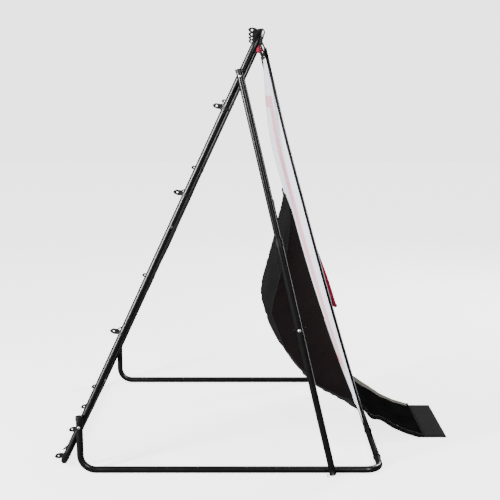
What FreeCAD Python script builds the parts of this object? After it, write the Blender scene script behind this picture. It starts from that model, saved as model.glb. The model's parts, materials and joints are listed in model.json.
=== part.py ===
"""Two-sided baseball trainer on a folding steel A-frame.

One side is a rebound net, the other a pitching target with a ball bag and a chute.
The origin is on the floor at the middle of the base. +X points from the rebound side to the
target side, +Y to the left as seen looking along +X, +Z is up. Lengths are in millimetres.
"""
import FreeCAD, Part
import math
import os

import Sketcher

Vector = FreeCAD.Vector
Placement = FreeCAD.Placement
Rotation = FreeCAD.Rotation

DIMENSIONS = [
    # steel tube
    ("tube_radius", 12.7),
    ("tube_bore", 11.2),
    ("swage_radius", 11.1),
    ("swage_bore", 9.6),
    ("bend_radius", 58.0),
    ("layer_gap", 28.0),
    # base
    ("base_half_width", 540.0),
    ("base_half_length", 567.0),
    ("pivot_height", 182.0),
    ("stub_above_pivot", 40.0),
    ("seam_position", 428.0),
    ("swage_length", 92.0),
    ("foot_position", 381.0),
    ("foot_height", 15.0),
    # rebounder frame, measured along its own slope
    ("lean_angle", 64.9),
    ("frame_above", 1595.0),
    ("frame_below", 180.0),
    ("frame_seam", 880.0),
    ("leg_bolt_station", 1424.0),
    # telescopic legs
    ("leg_radius", 11.0),
    ("leg_bore", 9.5),
    ("sleeve_bore", 11.3),
    ("leg_above_bolt", 24.0),
    ("leg_inner_length", 975.0),
    ("sleeve_start", 592.0),
    ("clamp_station", 933.0),
    ("clamp_travel", 165.0),
    ("foot_end", 8.0),
    # fasteners
    ("bolt_radius", 4.0),
    ("bolt_hole", 4.05),
    ("foot_hole", 6.1),
    ("clamp_bolt_radius", 3.0),
    ("clamp_bolt_hole", 3.05),
    ("clamp_slot_half", 3.3),
    ("washer_radius", 9.0),
    ("washer_thickness", 2.2),
    ("dome_sphere", 8.125),
    ("dome_latitude", 30.5),
    ("nut_radius", 7.2),
    ("nut_height", 6.5),
    # soft goods
    ("net_half_width", 452.0),
    ("net_thickness", 8.0),
    ("sheet_half_width", 480.0),
    ("sheet_thickness", 3.0),
    ("pocket_half_width", 205.0),
    ("chute_half_width", 190.0),
    ("cloth_thickness", 3.0),
]

doc = FreeCAD.newDocument("two_sided_trainer")
table = doc.addObject("Spreadsheet::Sheet", "Dimensions")
ALIASES = set()
for row, (alias, number) in enumerate(DIMENSIONS, start=1):
    table.set(f"A{row}", alias)
    table.set(f"B{row}", str(number))
    table.setAlias(f"B{row}", alias)
    ALIASES.add(alias)
doc.recompute()

parts = []


def size(formula):
    """The value of a formula made of aliases and numbers joined by + and -."""
    total = 0.0
    sign = 1.0
    for word in formula.split():
        if word == "+":
            sign = 1.0
        elif word == "-":
            sign = -1.0
        elif word in ALIASES:
            total += sign * float(table.get(word))
        else:
            total += sign * float(word)
    return total


def bind(item, prop, formula):
    """Binds a property to a formula made of aliases and numbers joined by + and -."""
    words = [f"Dimensions.{word}" if word in ALIASES else word for word in formula.split()]
    item.setExpression(prop, " ".join(words))


def keep(item, label, place=None):
    """Makes an object of the document a sub-part with its own label and placement."""
    item.Label = label
    if place is not None:
        item.Placement = place
    parts.append(item)
    return item


# --- where things are ------------------------------------------------------------------------

def at(x, y, z):
    return Placement(Vector(x, y, z), Rotation())


def turned(x, y, z, axis, angle):
    return Placement(Vector(x, y, z), Rotation(axis, angle))


def outward(x, y, z, side):
    """Local +Z points away from the object's middle plane, along side * Y."""
    return turned(x, y, z, Vector(1, 0, 0), -90.0 * side)


HALF_LENGTH = size("base_half_length")
HALF_WIDTH = size("base_half_width")
FRAME_Y = size("base_half_width - layer_gap")
LEG_Y = size("base_half_width + layer_gap")
TUBE = size("tube_radius")

PIVOT = Vector(-HALF_LENGTH, 0, size("pivot_height"))
FRAME = Placement(PIVOT, Rotation(Vector(0, 1, 0), 90.0 - size("lean_angle")))
FOOT = Vector(size("foot_position"), 0, size("foot_height"))
LEG_TOP = FRAME.multVec(Vector(0, 0, size("leg_bolt_station")))
LEG_RUN = FOOT - LEG_TOP
LEG_LENGTH = LEG_RUN.Length
LEG_ANGLE = math.degrees(math.atan2(LEG_RUN.x, -LEG_RUN.z))
SIDES = (("right", -1), ("left", 1))
# clearance round a piece that is pressed or slipped over another
FIT = 0.05
# clearance under a bolt head or nut
SEAT = 0.1
# how far a cutter stands past the metal on each side
PAST = 2.0
THROUGH_TUBE = f"tube_radius + tube_radius + {2 * PAST}"


def leg_place(side):
    """Origin at the leg's top bolt, local -Z along the leg towards its foot."""
    return turned(LEG_TOP.x, side * LEG_Y, LEG_TOP.z, Vector(0, 1, 0), -LEG_ANGLE)


def on_leg(side, distance, outboard):
    """Placement on a leg's axis plane, local +Z outboard, at a distance down from its top bolt."""
    return leg_place(side) * outward(0, side * outboard, -distance, side)


def on_frame(station, y, side):
    """Placement on the rebounder frame, local +Z outboard, at a station above the pivot."""
    return FRAME * outward(0, y, station, side)


# --- basic solids ----------------------------------------------------------------------------

def cylinder(radius, height, place, name="cylinder"):
    item = doc.addObject("Part::Cylinder", name)
    bind(item, "Radius", radius)
    bind(item, "Height", height)
    item.Placement = place
    return item


def block(length, width, height, place, name="block"):
    """A box centred on its place in X and Y and standing on it in Z."""
    item = doc.addObject("Part::Box", name)
    bind(item, "Length", length)
    bind(item, "Width", width)
    bind(item, "Height", height)
    item.Placement = place * at(-size(length) / 2, -size(width) / 2, 0)
    return item


def dome(place, name="dome"):
    """A round bolt head whose flat side stands on its place."""
    item = doc.addObject("Part::Sphere", name)
    bind(item, "Radius", "dome_sphere")
    bind(item, "Angle1", "dome_latitude")
    item.Angle2 = 90
    drop = size("dome_sphere") * math.sin(math.radians(size("dome_latitude")))
    item.Placement = place * at(0, 0, -drop)
    return item


def hexagon(radius, height, place, name="hexagon"):
    item = doc.addObject("Part::Prism", name)
    item.Polygon = 6
    bind(item, "Circumradius", radius)
    bind(item, "Height", height)
    item.Placement = place
    return item


def ring(major, minor, place, name="ring"):
    item = doc.addObject("Part::Torus", name)
    item.Radius1 = major
    item.Radius2 = minor
    item.Placement = place
    return item


def fuse(items, name="fuse"):
    item = doc.addObject("Part::MultiFuse", name)
    item.Shapes = items
    return item


def cut(base, tool, name="cut"):
    item = doc.addObject("Part::Cut", name)
    item.Base = base
    item.Tool = tool
    return item


def group(items, name="group"):
    """Separate solids that share one node."""
    item = doc.addObject("Part::Compound", name)
    item.Links = items
    return item


def pipe(outer, inner, height, place, name="pipe"):
    """A straight tube."""
    return cut(cylinder(outer, height, place), cylinder(inner, height, place), name)


def washer(bore, place, thickness="washer_thickness"):
    return pipe("washer_radius", bore, thickness, place, "washer")


# --- bent tube -------------------------------------------------------------------------------

STEP = {"+x": Vector(1, 0, 0), "-x": Vector(-1, 0, 0), "+y": Vector(0, 1, 0), "-y": Vector(0, -1, 0)}
QUARTER = math.pi / 2


def origin_plane(body, role):
    return [item for item in body.Origin.OriginFeatures if item.Role == role][0]


def new_sketch(body, role, name):
    sketch = body.newObject("Sketcher::SketchObject", name)
    sketch.AttachmentSupport = [(origin_plane(body, role), "")]
    sketch.MapMode = "FlatFace"
    return sketch


def constrain(sketch, name, constraint, formula):
    index = sketch.addConstraint(constraint)
    sketch.renameConstraint(index, name)
    bind(sketch, f"Constraints.{name}", formula)


def path_sketch(body, role, runs):
    """Straight runs at right angles joined by bends. runs holds (direction, length formula)."""
    sketch = new_sketch(body, role, "path")
    bend = size("bend_radius")
    here = Vector(0, 0, 0)
    line = -1
    line_end = 1
    for number, (direction, formula) in enumerate(runs):
        step = STEP[direction]
        if number:
            last = STEP[runs[number - 1][0]]
            centre = here + step * bend
            left_turn = last.cross(step).z > 0
            spoke = here - centre
            start = math.atan2(spoke.y, spoke.x)
            if not left_turn:
                start -= QUARTER
            circle = Part.Circle(centre, Vector(0, 0, 1), bend)
            arc = sketch.addGeometry(Part.ArcOfCircle(circle, start, start + QUARTER), False)
            arc_in, arc_out = (1, 2) if left_turn else (2, 1)
            sketch.addConstraint(Sketcher.Constraint("Tangent", line, line_end, arc, arc_in))
            constrain(sketch, f"bend{number}", Sketcher.Constraint("Radius", arc, bend), "bend_radius")
            here = centre + last * bend
        length = size(formula)
        after = here + step * length
        new_line = sketch.addGeometry(Part.LineSegment(here, after), False)
        if number:
            sketch.addConstraint(Sketcher.Constraint("Tangent", arc, arc_out, new_line, 1))
        else:
            sketch.addConstraint(Sketcher.Constraint("Coincident", new_line, 1, -1, 1))
        level = "Horizontal" if direction[1] == "x" else "Vertical"
        sketch.addConstraint(Sketcher.Constraint(level, new_line))
        constrain(sketch, f"run{number}", Sketcher.Constraint("Distance", new_line, length), formula)
        line = new_line
        line_end = 2
        here = after
    return sketch


def bent_tube(name, path_plane, ring_plane, runs, place):
    """A hollow tube swept along right-angled bends, starting at its own origin."""
    body = doc.addObject("PartDesign::Body", name)
    path = path_sketch(body, path_plane, runs)
    section = new_sketch(body, ring_plane, "section")
    for number, radius in enumerate(("tube_radius", "tube_bore")):
        section.addGeometry(Part.Circle(Vector(0, 0, 0), Vector(0, 0, 1), size(radius)), False)
        section.addConstraint(Sketcher.Constraint("Coincident", number, 3, -1, 1))
        circle = Sketcher.Constraint("Radius", number, size(radius))
        constrain(section, f"ring{number}", circle, radius)
    doc.recompute()
    sweep = body.newObject("PartDesign::AdditivePipe", "sweep")
    sweep.Profile = section
    sweep.Spine = (path, [])
    body.Placement = place
    return body


SHOULDER = 3.0


def swaged_end(place):
    """A reduced tube end that plugs into the next tube, local +Z out of the main tube."""
    shoulder = pipe("tube_radius", "swage_bore", f"{SHOULDER}", place * at(0, 0, -SHOULDER))
    spigot = pipe("swage_radius", "swage_bore", "swage_length", place)
    return [shoulder, spigot]


# --- base ------------------------------------------------------------------------------------

def base_side_tube(name, side):
    """Stub, bend and floor run of one side."""
    top = size("pivot_height + stub_above_pivot")
    runs = [
        ("-y", "pivot_height + stub_above_pivot - tube_radius - bend_radius"),
        ("+x", "base_half_length + seam_position - bend_radius"),
    ]
    place = at(-HALF_LENGTH, side * HALF_WIDTH, top)
    body = bent_tube("tube", "XZ_Plane", "XY_Plane", runs, place)
    start = side * (HALF_WIDTH - TUBE - PAST)
    pivot_hole = cylinder("bolt_hole", THROUGH_TUBE, outward(PIVOT.x, start, PIVOT.z, side))
    foot_hole = cylinder("bolt_hole", THROUGH_TUBE, outward(FOOT.x, start, FOOT.z, side))
    keep(cut(body, fuse([pivot_hole, foot_hole]), name), name)


def base_front_tube():
    """U of tube on the floor with reduced ends that plug into the side tubes."""
    side_run = "base_half_length - bend_radius - seam_position"
    runs = [
        ("+x", side_run),
        ("+y", "base_half_width + base_half_width - bend_radius - bend_radius"),
        ("-x", side_run),
    ]
    seam = size("seam_position")
    body = bent_tube("tube", "XY_Plane", "YZ_Plane", runs, at(seam, -HALF_WIDTH, TUBE))
    solids = [body]
    holes = []
    for _, side in SIDES:
        solids += swaged_end(turned(seam, side * HALF_WIDTH, TUBE, Vector(0, 1, 0), -90))
        start = outward(FOOT.x, side * (HALF_WIDTH - TUBE - PAST), FOOT.z, side)
        holes.append(cylinder("bolt_hole", THROUGH_TUBE, start))
    keep(cut(fuse(solids), group(holes), "front_tube"), "base_front_tube")


CAP_WALL = 1.6
CAP_TOP = 2.2
CAP_DEPTH = 15.8
CAP_ROUND = 1.8


def stub_caps():
    """Plastic caps on the two upright tube ends."""
    caps = []
    top = size("pivot_height + stub_above_pivot")
    for _, side in SIDES:
        mouth = at(-HALF_LENGTH, side * HALF_WIDTH, top - CAP_DEPTH)
        shell = cylinder(f"tube_radius + {CAP_WALL}", f"{CAP_DEPTH + CAP_TOP}", mouth)
        bore = cylinder(f"tube_radius + {FIT}", f"{CAP_DEPTH + 2 * FIT}", mouth * at(0, 0, -FIT))
        hollow = cut(shell, bore)
        doc.recompute()
        rim = [
            number
            for number, edge in enumerate(hollow.Shape.Edges, start=1)
            if edge.BoundBox.ZMin > top + CAP_TOP / 2 and isinstance(edge.Curve, Part.Circle)
        ]
        rounded = doc.addObject("Part::Fillet", "cap")
        rounded.Base = hollow
        rounded.Edges = [(number, CAP_ROUND, CAP_ROUND) for number in rim]
        caps.append(rounded)
    keep(group(caps), "stub_caps")


# --- fasteners -------------------------------------------------------------------------------

THREAD_PAST_NUT = 4.0


def headed_bolt(head_place, length):
    """Dome head on the outboard side, shank running inboard from it."""
    shank = cylinder("bolt_radius", length, head_place * at(0, 0, -size(length)))
    return fuse([dome(head_place), shank], "bolt")


def locknut(place):
    """A hexagon nut bored for the bolt, local +Z away from the tube."""
    return cut(hexagon("nut_radius", "nut_height", place), cylinder("bolt_hole", "nut_height", place), "nut")


def pivot_fasteners():
    """Bolt, spacer washer and locknut where the frame hangs between the stubs."""
    bolts = []
    washers = []
    nuts = []
    length = f"layer_gap + tube_radius + tube_radius + nut_height + {THREAD_PAST_NUT}"
    for _, side in SIDES:
        head = outward(PIVOT.x, side * (HALF_WIDTH + TUBE + FIT), PIVOT.z, side)
        bolts.append(headed_bolt(head, length))
        gap_middle = HALF_WIDTH - size("layer_gap") / 2
        start = gap_middle - size("washer_thickness") / 2
        washers.append(washer("bolt_hole", outward(PIVOT.x, side * start, PIVOT.z, side)))
        nuts.append(locknut(outward(PIVOT.x, side * (FRAME_Y - TUBE - SEAT), PIVOT.z, -side)))
    keep(group(bolts), "pivot_bolts")
    keep(group(washers), "pivot_washers")
    keep(group(nuts), "pivot_nuts")


def leg_top_fasteners():
    """Bolt through leg, spacer and frame tube, with a locknut inside the frame."""
    bolts = []
    spacers = []
    nuts = []
    gap = f"layer_gap + layer_gap - leg_radius - tube_radius - {2 * SEAT}"
    length = f"layer_gap + layer_gap + leg_radius + tube_radius + nut_height + {THREAD_PAST_NUT}"
    station = size("leg_bolt_station")
    for _, side in SIDES:
        head = on_frame(station, side * (LEG_Y + size("leg_radius") + SEAT), side)
        bolts.append(headed_bolt(head, length))
        start = on_frame(station, side * (FRAME_Y + TUBE + SEAT), side)
        spacers.append(pipe("washer_radius", "bolt_hole", gap, start, "spacer"))
        nuts.append(locknut(on_frame(station, side * (FRAME_Y - TUBE - SEAT), -side)))
    keep(group(bolts), "leg_top_bolts")
    keep(group(spacers), "leg_top_spacers")
    keep(group(nuts), "leg_top_nuts")


PIN_HEAD_RADIUS = 7.0
PIN_HEAD_HEIGHT = 3.0
# from the outer washer to the middle of the clip's hole, and on to the pin's end
PIN_TO_CLIP = 2.2
PIN_PAST_CLIP = 7.8
CLIP_HOLE_RADIUS = 1.3
CLIP_WIRE_RADIUS = 1.1
CLIP_LENGTH = 26.0
CLIP_LOOP_RADIUS = 5.2
CLIP_LOOP_AT = (-16.2, -5.6)
CLIP_TILT = 72.0
WASHER_GAP = 0.3


def foot_fasteners():
    """Clevis pin through floor tube and leg foot, its washers and its wire clip."""
    pins = []
    washers = []
    clips = []
    thickness = size("washer_thickness")
    inboard = HALF_WIDTH - TUBE - SEAT
    outboard = LEG_Y + TUBE + WASHER_GAP
    clip_y = outboard + thickness + PIN_TO_CLIP
    for _, side in SIDES:
        start = outward(FOOT.x, side * inboard, FOOT.z, side)
        head_place = outward(FOOT.x, side * inboard, FOOT.z, -side)
        head = cylinder(f"{PIN_HEAD_RADIUS}", f"{PIN_HEAD_HEIGHT}", head_place)
        shank = cylinder("bolt_radius", f"{clip_y + PIN_PAST_CLIP - inboard}", start)
        clip_place = at(FOOT.x, side * clip_y, FOOT.z)
        along_clip = clip_place * turned(0, 0, 0, Vector(0, 1, 0), CLIP_TILT)
        hole_start = along_clip * at(0, 0, -PIN_HEAD_RADIUS)
        hole = cylinder(f"{CLIP_HOLE_RADIUS}", f"{2 * PIN_HEAD_RADIUS}", hole_start)
        pins.append(cut(fuse([head, shank]), hole, "pin"))
        middle = HALF_WIDTH + size("layer_gap") / 2 - thickness / 2
        for from_middle in (middle, outboard):
            washers.append(washer("bolt_hole", outward(FOOT.x, side * from_middle, FOOT.z, side)))
        loop_x, loop_z = CLIP_LOOP_AT
        flat = clip_place * turned(0, 0, 0, Vector(1, 0, 0), 90)
        loop = ring(CLIP_LOOP_RADIUS, CLIP_WIRE_RADIUS, flat * at(loop_x, loop_z, 0))
        wire_start = along_clip * at(0, 0, -CLIP_LENGTH / 2)
        wire = cylinder(f"{CLIP_WIRE_RADIUS}", f"{CLIP_LENGTH}", wire_start)
        clips.append(fuse([wire, loop], "clip"))
    keep(group(pins), "foot_pins")
    keep(group(washers), "foot_washers")
    keep(group(clips), "foot_pin_clips")


# --- rebounder frame -------------------------------------------------------------------------

SCREW_HEAD_RADIUS = 5.6
SCREW_HEAD_HEIGHT = 2.4


def rebounder_tubes():
    """The frame's lower and upper U, joined end to end halfway up."""
    across = "base_half_width + base_half_width - layer_gap - layer_gap - bend_radius - bend_radius"
    lower_run = "frame_seam + frame_below - bend_radius"
    upper_run = "frame_above - frame_seam - bend_radius"
    seam = size("frame_seam")
    start = FRAME * at(0, -FRAME_Y, seam)
    lower = bent_tube(
        "tube", "YZ_Plane", "XY_Plane", [("-y", lower_run), ("+x", across), ("+y", lower_run)], start
    )
    upper = bent_tube(
        "tube", "YZ_Plane", "XY_Plane", [("+y", upper_run), ("+x", across), ("-y", upper_run)], start
    )
    lower_holes = []
    upper_holes = []
    upper_solids = [upper]
    screw_station = seam - size("swage_length") / 2
    screws = []
    for _, side in SIDES:
        inner = side * (FRAME_Y - TUBE - PAST)
        lower_holes.append(cylinder("bolt_hole", THROUGH_TUBE, on_frame(0, inner, side)))
        screw_start = on_frame(screw_station, inner, side)
        screw_hole = cylinder("clamp_bolt_hole", THROUGH_TUBE, screw_start)
        lower_holes.append(screw_hole)
        upper_holes.append(screw_hole)
        leg_bolt_start = on_frame(size("leg_bolt_station"), inner, side)
        upper_holes.append(cylinder("bolt_hole", THROUGH_TUBE, leg_bolt_start))
        spigot = FRAME * turned(0, side * FRAME_Y, seam, Vector(1, 0, 0), 180)
        upper_solids += swaged_end(spigot)
        shank_length = f"tube_radius + tube_radius + {PAST + SEAT}"
        shank = cylinder("clamp_bolt_radius", shank_length, screw_start)
        head_start = on_frame(screw_station, side * (FRAME_Y + TUBE + SEAT), side)
        head = cylinder(f"{SCREW_HEAD_RADIUS}", f"{SCREW_HEAD_HEIGHT}", head_start)
        screws.append(fuse([shank, head], "screw"))
    keep(cut(lower, group(lower_holes), "lower_frame"), "rebounder_lower_tube")
    keep(cut(fuse(upper_solids), group(upper_holes), "upper_frame"), "rebounder_upper_tube")
    keep(group(screws), "frame_joint_screws")


def rebound_net():
    """The stretched net as one thin panel inside the frame."""
    margin = size("base_half_width - layer_gap - net_half_width")
    bottom = -size("frame_below") + margin
    height = f"frame_above + frame_below - {2 * margin}"
    panel = block("net_thickness", "net_half_width + net_half_width", height, FRAME * at(0, 0, bottom))
    keep(panel, "rebound_net")


# the net hook's flat leaf, seen from the side: outline points and the middle of its eye
HOOK_LEAF = [(-13, -8), (-26, -13), (-40, -13), (-47, -7), (-40, 3), (-24, 8), (-13, 7)]
HOOK_EYE = (-32, -4)
HOOK_EYE_RADIUS = 3.6
HOOK_LEAF_HALF = 4.0
HOOK_CLIP_WALL = 3.2
HOOK_CLIP_HEIGHT = 9.0
HOOK_MOUTH = 15.0


def across_y(points, half_width):
    """A closed outline of (x, z) points made into a solid from -half_width to +half_width."""
    corners = [Vector(x, -half_width, z) for x, z in points]
    outline = Part.Face(Part.makePolygon(corners + corners[:1]))
    return outline.extrude(Vector(0, 2 * half_width, 0))


def spring_clip(place, wall, height, mouth_width):
    """A C-shaped clip snapped over a tube: local Z along the tube, its mouth towards local +X."""
    low = place * at(0, 0, -height / 2)
    shell = cylinder(f"tube_radius + {wall}", f"{height}", low)
    bore = cylinder(f"tube_radius + {SEAT}", f"{height}", low)
    mouth_depth = TUBE + wall + PAST
    mouth = block(f"{mouth_depth}", f"{mouth_width}", f"{height}", low * at(mouth_depth / 2, 0, 0))
    return cut(shell, fuse([bore, mouth]))


def tube_hook(clip_place, leaf_place):
    """A plastic hook: a spring clip on the tube and a flat leaf with an eye, out from the frame."""
    leaf = doc.addObject("Part::Feature", "leaf")
    leaf.Shape = across_y(HOOK_LEAF, HOOK_LEAF_HALF)
    leaf.Placement = leaf_place
    x, z = HOOK_EYE
    reach = HOOK_LEAF_HALF + PAST
    eye_place = leaf_place * turned(x, reach, z, Vector(1, 0, 0), 90)
    eye = cylinder(f"{HOOK_EYE_RADIUS}", f"{2 * reach}", eye_place)
    clip = spring_clip(clip_place, HOOK_CLIP_WALL, HOOK_CLIP_HEIGHT, HOOK_MOUTH)
    return cut(fuse([clip, leaf]), eye, "hook")


# the leaves on the lower crossbar are turned down by this angle
HOOK_DROP = 20.0
HOOK_STATIONS = (390.0, 960.0, 1300.0)
HOOK_ROWS = (-420.0, -140.0, 140.0, 420.0)
HANGER_ROWS = (-444.0, -165.0, 165.0, 444.0)


def net_hooks():
    """Hooks that hold the net's cord on the frame tubes."""
    hooks = []
    for station in HOOK_STATIONS:
        for _, side in SIDES:
            upright = FRAME * at(0, side * FRAME_Y, station)
            hooks.append(tube_hook(upright, upright))
    for station, drop in ((-size("frame_below"), HOOK_DROP), (size("frame_above"), 0)):
        for y in HOOK_ROWS:
            crossbar = FRAME * at(0, y, station)
            along_bar = crossbar * turned(0, 0, 0, Vector(1, 0, 0), 90)
            hooks.append(tube_hook(along_bar, crossbar * turned(0, 0, 0, Vector(0, 1, 0), -drop)))
    keep(group(hooks), "net_hooks")


# --- legs ------------------------------------------------------------------------------------

LEG_CAP_WALL = 1.4
LEG_CAP_DEPTH = 12.0
LEG_CAP_TOP = 2.0
COLLAR_WALL = 1.3
COLLAR_DEPTH = 22.0
COLLAR_TOP = 4.0
COLLAR_FIT = 0.08
PLUG_DEPTH = 30.0
PLUG_LIP = 1.5
PLUG_NECK = 0.2


def leg(name, side):
    """Inner tube, outer tube, sleeve collar, end plugs and clamp of one telescopic leg."""
    place = leg_place(side)
    through = f"leg_radius + leg_radius + {2 * PAST}"
    past_inner = -size("leg_radius") - PAST
    past_outer = -TUBE - PAST
    inner = pipe(
        "leg_radius",
        "leg_bore",
        "leg_inner_length + leg_above_bolt",
        place * at(0, 0, -size("leg_inner_length")),
    )
    top_hole = cylinder("bolt_hole", through, on_leg(side, 0, past_inner))
    slot_end = size("clamp_station")
    slot_start = slot_end - size("clamp_travel")
    slot_cuts = [
        cylinder("clamp_slot_half", through, on_leg(side, station, past_inner))
        for station in (slot_start, slot_end)
    ]
    middle = on_leg(side, (slot_start + slot_end) / 2, past_inner)
    slot_cuts.append(block("clamp_slot_half + clamp_slot_half", "clamp_travel", through, middle))
    keep(cut(inner, fuse([top_hole] + slot_cuts), "inner_leg"), f"leg_upper_{name}")

    cap_mouth = place * at(0, 0, size("leg_above_bolt") - LEG_CAP_DEPTH)
    cap_shell = cylinder(f"leg_radius + {LEG_CAP_WALL}", f"{LEG_CAP_DEPTH + LEG_CAP_TOP}", cap_mouth)
    cap_bore = cylinder(f"leg_radius + {FIT}", f"{LEG_CAP_DEPTH + 2 * FIT}", cap_mouth * at(0, 0, -FIT))
    keep(cut(cap_shell, cap_bore, "cap"), f"leg_top_cap_{name}")

    start = size("sleeve_start")
    end = LEG_LENGTH + size("foot_end")
    outer = pipe("tube_radius", "sleeve_bore", f"{end - start}", place * at(0, 0, -end))
    clamp_hole = cylinder("clamp_bolt_hole", THROUGH_TUBE, on_leg(side, slot_end, past_outer))
    foot_hole = cylinder("foot_hole", THROUGH_TUBE, on_leg(side, LEG_LENGTH, past_outer))
    keep(cut(outer, fuse([clamp_hole, foot_hole]), "outer_leg"), f"leg_lower_{name}")

    collar_low = place * at(0, 0, -start - COLLAR_DEPTH)
    collar_height = COLLAR_DEPTH + COLLAR_TOP
    collar_shell = cylinder(f"tube_radius + {COLLAR_WALL}", f"{collar_height}", collar_low)
    collar_step = cylinder(f"tube_radius + {FIT}", f"{COLLAR_DEPTH + FIT}", collar_low * at(0, 0, -FIT))
    bore_length = f"{collar_height + 2 * PAST}"
    collar_bore = cylinder(f"leg_radius + {COLLAR_FIT}", bore_length, collar_low * at(0, 0, -PAST))
    keep(cut(collar_shell, fuse([collar_step, collar_bore]), "collar"), f"leg_collar_{name}")

    plug_body = cylinder(f"sleeve_bore - {FIT}", f"{PLUG_DEPTH}", place * at(0, 0, -end))
    plug_lip = cylinder("tube_radius", f"{PLUG_LIP}", place * at(0, 0, -end - PLUG_LIP - FIT))
    plug_neck = cylinder(f"sleeve_bore - {FIT}", f"{PLUG_NECK}", place * at(0, 0, -end - PLUG_NECK / 2))
    plug = fuse([plug_body, plug_neck, plug_lip])
    keep(cut(plug, foot_hole, "plug"), f"leg_foot_plug_{name}")


KNOB_GAP = 0.2
KNOB_HUB_RADIUS = 7.5
KNOB_HUB_HEIGHT = 9.0
KNOB_THREAD = 15.0
WING_LENGTH = 13.0
WING_THICKNESS = 3.4
WING_HEIGHT = 11.0
WING_LIFT = 2.5
WING_MIDDLE = 12.0
WING_TIP_RADIUS = 5.5


def leg_clamp(name, side):
    """Clamp bolt through the outer leg and the wing knob that tightens it."""
    station = size("clamp_station")
    head = on_leg(side, station, TUBE + FIT)
    length = f"tube_radius + tube_radius + {KNOB_THREAD + FIT}"
    shank = cylinder("clamp_bolt_radius", length, head * at(0, 0, -size(length)))
    keep(fuse([dome(head), shank], "clamp_bolt"), f"clamp_bolt_{name}")
    seat = on_leg(side, station, -TUBE - KNOB_GAP) * turned(0, 0, 0, Vector(1, 0, 0), 180)
    wings = []
    for direction in (1, -1):
        wing_place = seat * at(direction * WING_MIDDLE, 0, WING_LIFT)
        wings.append(block(f"{WING_LENGTH}", f"{WING_THICKNESS}", f"{WING_HEIGHT}", wing_place))
        tip_x = direction * (WING_MIDDLE + WING_LENGTH / 2)
        tip_z = WING_LIFT + WING_HEIGHT / 2
        tip_place = seat * turned(tip_x, WING_THICKNESS / 2, tip_z, Vector(1, 0, 0), 90)
        wings.append(cylinder(f"{WING_TIP_RADIUS}", f"{WING_THICKNESS}", tip_place))
    hub = cylinder(f"{KNOB_HUB_RADIUS}", f"{KNOB_HUB_HEIGHT}", seat)
    bore_length = f"{KNOB_HUB_HEIGHT + WING_HEIGHT}"
    bore = cylinder("clamp_bolt_hole", bore_length, seat * at(0, 0, -PAST))
    keep(cut(fuse([hub] + wings), bore, "knob"), f"clamp_knob_{name}")


# --- target side -----------------------------------------------------------------------------

SHEET_TOP = Vector(128, 0, 1571)
SHEET_BOTTOM = Vector(551, 0, 46)
SHEET_SAG_MIDDLE = 72.0
SHEET_SAG_EDGE = 10.0
POCKET_TOP = 970.0
POCKET_BOTTOM = 535.0
CHUTE_SLOT_TOP = 205.0
CHUTE_SLOT_BOTTOM = 72.0
WINDOW_REACH = 160.0


def share_of_height(z):
    """0 at the sheet's bottom and 1 at its top."""
    return (z - SHEET_BOTTOM.z) / (SHEET_TOP.z - SHEET_BOTTOM.z)


def sheet_x(z):
    """Where the sheet stands at a height, on its straight line from top to bottom."""
    return SHEET_BOTTOM.x + share_of_height(z) * (SHEET_TOP.x - SHEET_BOTTOM.x)


def sagging_x(z):
    """Where the sheet's back stands at a height on its middle, bowed back from the straight line."""
    share = share_of_height(z)
    return sheet_x(z) - 4 * SHEET_SAG_MIDDLE * share * (1 - share)


def sheet_section(y):
    """The sheet's closed outline in the plane at y. It bows back most in the middle."""
    from_middle = (y / size("sheet_half_width")) ** 2
    sag = SHEET_SAG_MIDDLE + from_middle * (SHEET_SAG_EDGE - SHEET_SAG_MIDDLE)
    through = Vector(size("sheet_thickness"), 0, 0)
    bottom = SHEET_BOTTOM + Vector(0, y, 0)
    top = SHEET_TOP + Vector(0, y, 0)
    middle = (bottom + top) / 2 - Vector(sag, 0, 0)
    back = Part.Arc(bottom, middle, top).toShape()
    front = Part.Arc(bottom + through, middle + through, top + through).toShape()
    low_end = Part.LineSegment(bottom, bottom + through).toShape()
    high_end = Part.LineSegment(top + through, top).toShape()
    return Part.Wire([low_end, front, high_end, back])


def window(low, high, half_width):
    """A cutter through the sheet between two heights."""
    left = sheet_x((low + high) / 2) - WINDOW_REACH
    return Part.makeBox(2 * WINDOW_REACH, 2 * half_width, high - low, Vector(left, -half_width, low))


def solid_part(shape, label):
    item = doc.addObject("Part::Feature", label)
    item.Shape = shape
    return keep(item, label)


def target_sheet():
    """The hanging sheet with the pocket opening and the chute opening."""
    half = size("sheet_half_width")
    sections = [sheet_section(half * share) for share in (-1, -0.5, 0, 0.5, 1)]
    cloth = Part.makeLoft(sections, True, False)
    cloth = cloth.cut(window(POCKET_BOTTOM, POCKET_TOP, size("pocket_half_width")))
    cloth = cloth.cut(window(CHUTE_SLOT_BOTTOM, CHUTE_SLOT_TOP, size("pocket_half_width")))
    solid_part(cloth, "target_sheet")


# height, how far the bag's back stands behind the sheet's straight line there, and half its width
BAG_LEVELS = [
    (1030, 80, 100),
    (1000, 84, 165),
    (968, 97, 209),
    (930, 111, 222),
    (895, 127, 228),
    (814, 167, 228),
    (709, 221, 228),
    (600, 275, 228),
    (550, 290, 228),
    (480, 285, 228),
    (415, 275, 228),
    (327, 247, 228),
    (251, 211, 225),
    (206, 189, 219),
    (170, 153, 206),
    (120, 77, 152),
    (92, 32, 92),
]
BAG_FRONT_GAP = 5.0
BAG_SIDE_POLE = 0.6
BAG_CORNER_POLE = 0.92


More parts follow.
